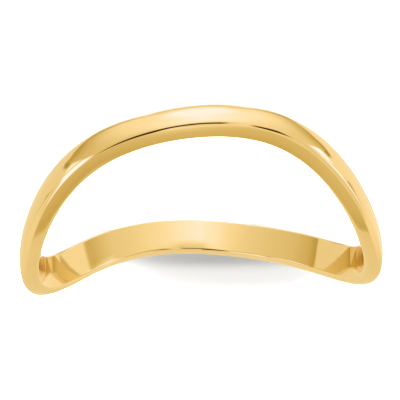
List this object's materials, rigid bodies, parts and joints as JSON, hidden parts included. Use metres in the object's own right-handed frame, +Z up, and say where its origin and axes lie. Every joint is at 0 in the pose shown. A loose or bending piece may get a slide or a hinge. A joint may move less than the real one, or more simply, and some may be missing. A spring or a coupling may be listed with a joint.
{
  "type": "wave thumb ring",
  "caption": "Plain polished yellow gold finger ring, one closed band that runs round in a wave with two crests and two shoulders.",
  "frame": {"origin": "under the middle of the ring's outer box, on the surface that the ring lies on", "axes": "-Y towards the front crest and +Y towards the back crest, the two places that touch the surface; +X towards one shoulder; +Z up, nearly along the finger hole"},
  "size_m": [0.0204, 0.0206, 0.0069],
  "materials": {
    "yellow_gold": "mirror polished 14 karat yellow gold"
  },
  "bodies": {
    "root": {"band": "yellow_gold"}
  },
  "joints": []
}
